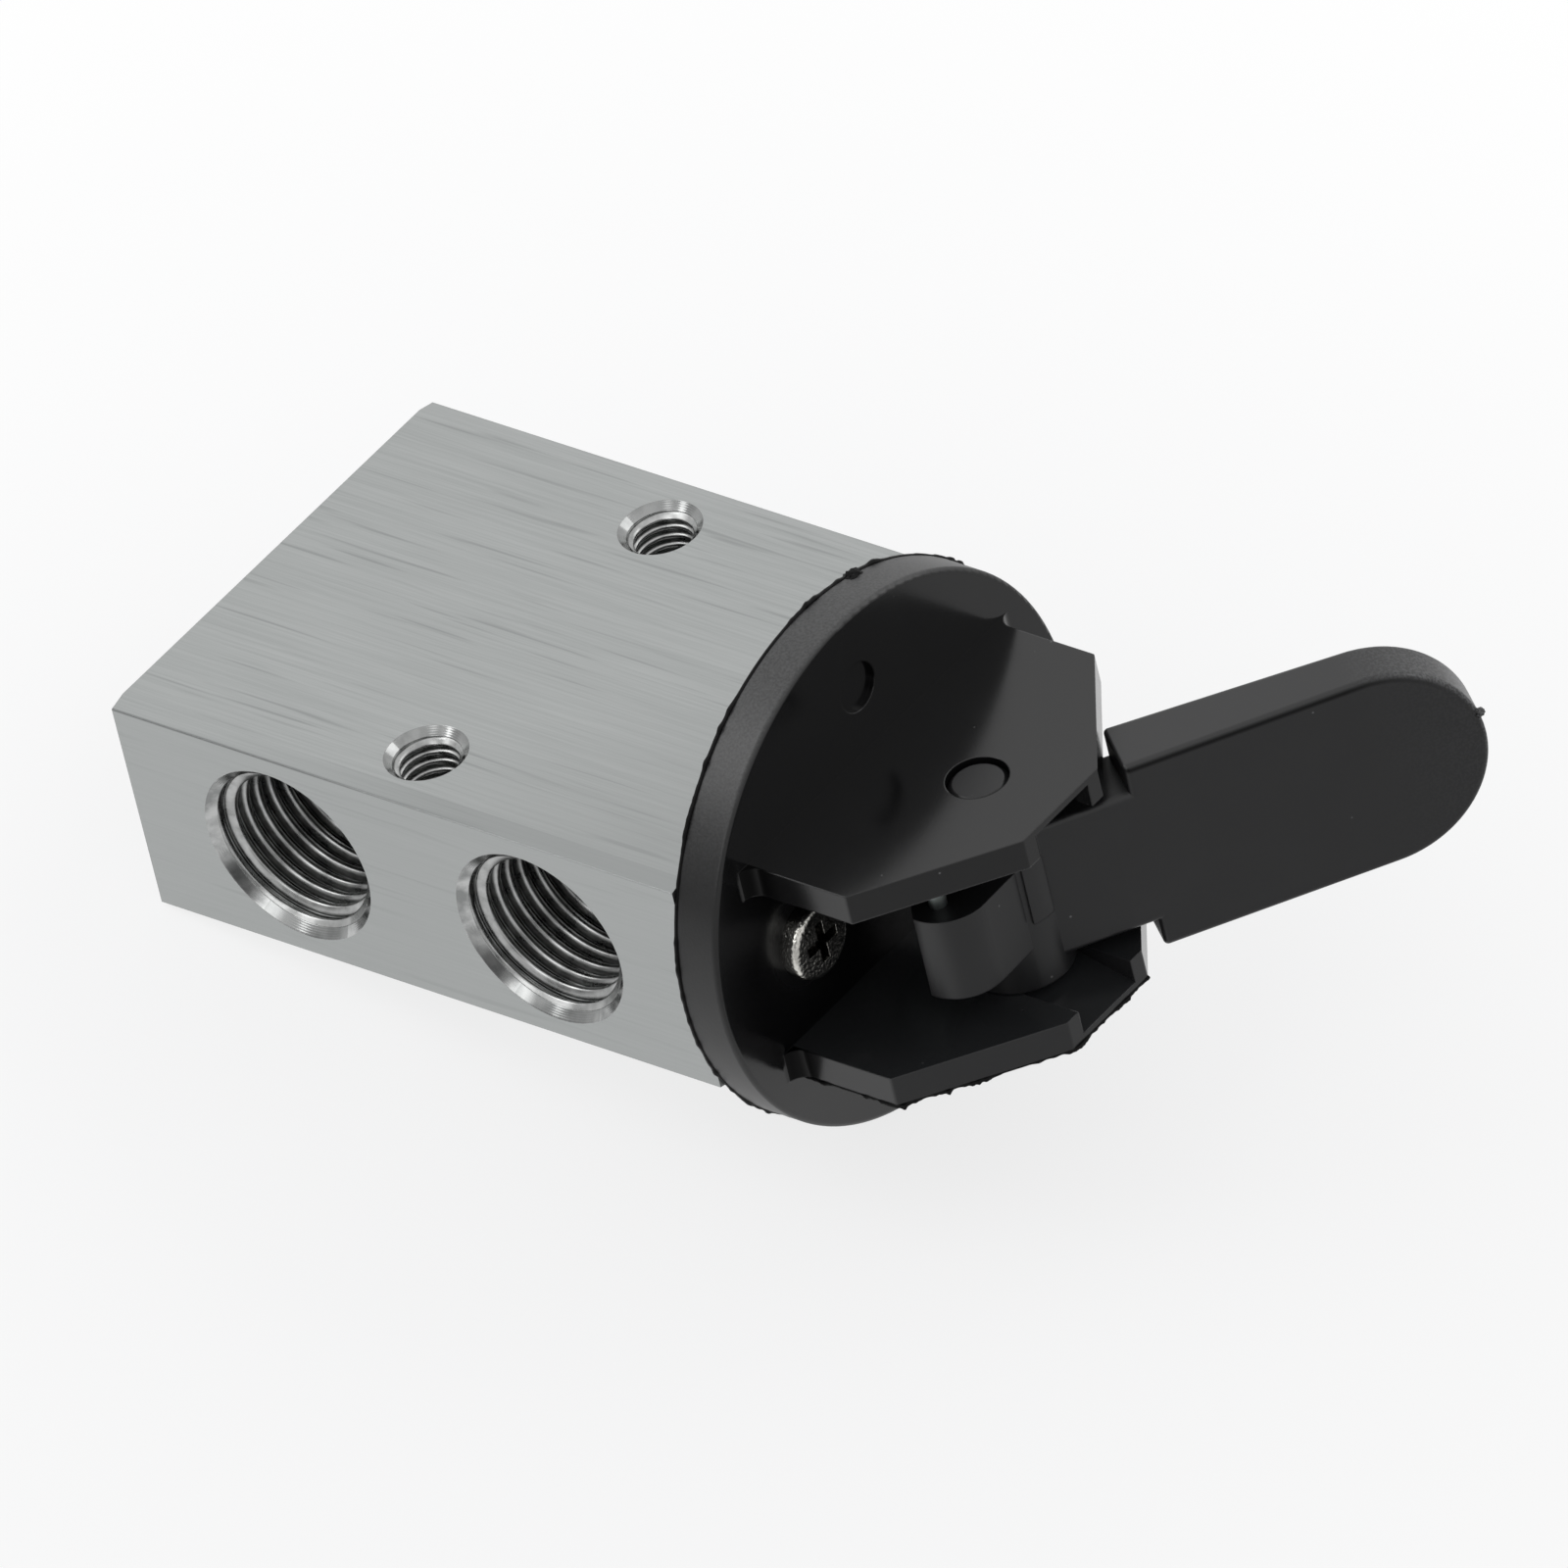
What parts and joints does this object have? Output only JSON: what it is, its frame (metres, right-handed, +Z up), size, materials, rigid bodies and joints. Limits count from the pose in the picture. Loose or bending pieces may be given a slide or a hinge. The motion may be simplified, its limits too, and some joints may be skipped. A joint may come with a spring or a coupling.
{
  "type": "hand lever air valve",
  "caption": "Hand lever air valve: aluminium block with threaded side ports, moulded bracket disc with cheeks, and a cam lever that swings sideways to push a spring returned plunger.",
  "frame": {"origin": "middle of the two mounting holes on the bottom face of the block", "axes": "+X along the block towards the lever, +Y away from the port side, +Z up along the mounting holes"},
  "size_m": [0.0848, 0.0492, 0.04],
  "materials": {
    "block": "brushed along the length, natural",
    "bracket_plastic": "moulded black, fine grain",
    "lever_plastic": "moulded black, fine grain",
    "screw": "nickel plated",
    "plunger_steel": "ground",
    "brass": "turned",
    "spool_metal": "turned",
    "spring_steel": "drawn wire",
    "seal_rubber": "black nitrile",
    "bronze_filter": "sintered grains"
  },
  "bodies": {
    "root": {"valve_body": "block", "lever_bracket": "bracket_plastic", "bracket_screw_near": "screw", "bracket_screw_far": "screw", "plunger_guide": "brass", "plunger_guide_seal": "seal_rubber", "plunger_seal": "seal_rubber", "end_plug": "brass", "end_plug_seal": "seal_rubber", "end_plug_circlip": "spring_steel", "exhaust_filter": "bronze_filter", "return_spring": "spring_steel"},
    "lever": {"lever": "lever_plastic"},
    "spool": {"plunger": "plunger_steel", "spool": "spool_metal", "spool_seal_rear": "seal_rubber", "spool_seal_middle": "seal_rubber", "spool_seal_front": "seal_rubber"}
  },
  "joints": [
    {"name": "lever_pivot", "type": "hinge", "parent": "root", "child": "lever", "pos_m": [0.0385, 0, 0.009], "axis": [0, 0, 1], "range_deg": [-90, 0]},
    {"name": "plunger_slide", "type": "slide", "parent": "root", "child": "spool", "axis": [1, 0, 0], "range_m": [-0.0046, 0], "deforming": ["return_spring"]}
  ],
  "couplings": [
    {"joint": "lever_pivot", "follows": "plunger_slide", "rad_per_m": 341.4}
  ]
}
